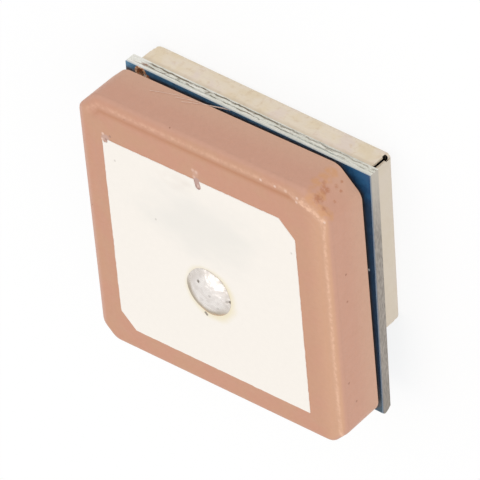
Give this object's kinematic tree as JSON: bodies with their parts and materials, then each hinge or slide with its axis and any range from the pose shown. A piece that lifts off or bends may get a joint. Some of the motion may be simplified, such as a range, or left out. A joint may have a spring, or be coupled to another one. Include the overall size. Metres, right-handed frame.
{
  "type": "gps receiver module",
  "caption": "Square GPS receiver module: ceramic patch antenna with a silver electrode on a small blue circuit board, folded shield can and wire connector behind.",
  "frame": {"origin": "centre of the circuit board, on the shield can's back face", "axes": "+Z from the shield can's back to the antenna's front, +X to the right and +Y to the top as seen from the front, with the connector behind the -Y edge"},
  "size_m": [0.0255, 0.0255, 0.0085],
  "materials": {
    "ceramic": "fired, matt",
    "fired_silver": "fired silver, matt",
    "solder": "tin solder, bright",
    "tinned_brass": "tinned",
    "foam_tape": "foam",
    "board": "blue solder mask on glass fibre",
    "copper": "bare copper, dull",
    "tinplate": "tinplate, satin",
    "chip_resin": "moulded resin",
    "lidded_package": "plated lid",
    "cell_steel": "nickel plated",
    "capacitor_ceramic": "fired, satin",
    "inductor_ceramic": "fired, satin",
    "connector_nylon": "natural nylon"
  },
  "bodies": {
    "root": {"ceramic_block": "ceramic", "radiating_electrode": "fired_silver", "ground_electrode": "fired_silver", "feed_pin": "tinned_brass", "front_solder": "solder", "adhesive_pad": "foam_tape", "circuit_board": "board", "plated_hole": "copper", "rear_solder": "solder", "shield_can": "tinplate", "shield_solder": "solder", "gnss_chip": "chip_resin", "tcxo": "lidded_package", "clock_crystal": "lidded_package", "saw_filter": "chip_resin", "low_noise_amplifier": "chip_resin", "regulator": "chip_resin", "flash_memory": "chip_resin", "backup_cell": "cell_steel", "cell_tabs": "cell_steel", "capacitors": "capacitor_ceramic", "resistors": "chip_resin", "inductors": "inductor_ceramic", "connector_housing": "connector_nylon", "connector_contacts": "tinned_brass", "connector_lugs": "tinned_brass"}
  },
  "joints": []
}
